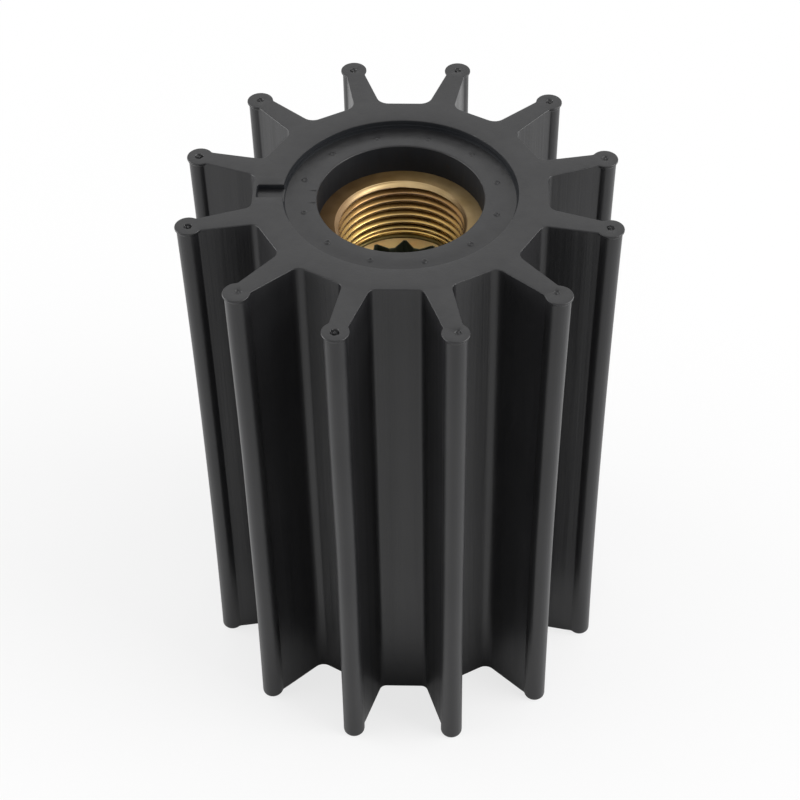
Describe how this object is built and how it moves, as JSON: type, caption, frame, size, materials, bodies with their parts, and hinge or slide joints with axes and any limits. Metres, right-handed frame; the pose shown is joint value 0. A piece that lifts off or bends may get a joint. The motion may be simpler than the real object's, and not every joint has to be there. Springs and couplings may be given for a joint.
{
  "type": "rubber pump impeller",
  "caption": "Flexible rubber pump impeller with straight radial blades on a faceted hub, moulded round a brass insert with a puller thread and a drive spline.",
  "frame": {"origin": "on the shaft axis, in the plane of the lower end face that the part stands on", "axes": "+Z along the shaft axis from the splined end to the threaded end; -X towards the locating slot in the upper end face"},
  "size_m": [0.0926, 0.0926, 0.128],
  "materials": {
    "rubber": "matt moulded rubber, dark grey",
    "brass": "turned brass, lightly bright"
  },
  "bodies": {
    "root": {"rubber_body": "rubber", "brass_insert": "brass"}
  },
  "joints": []
}
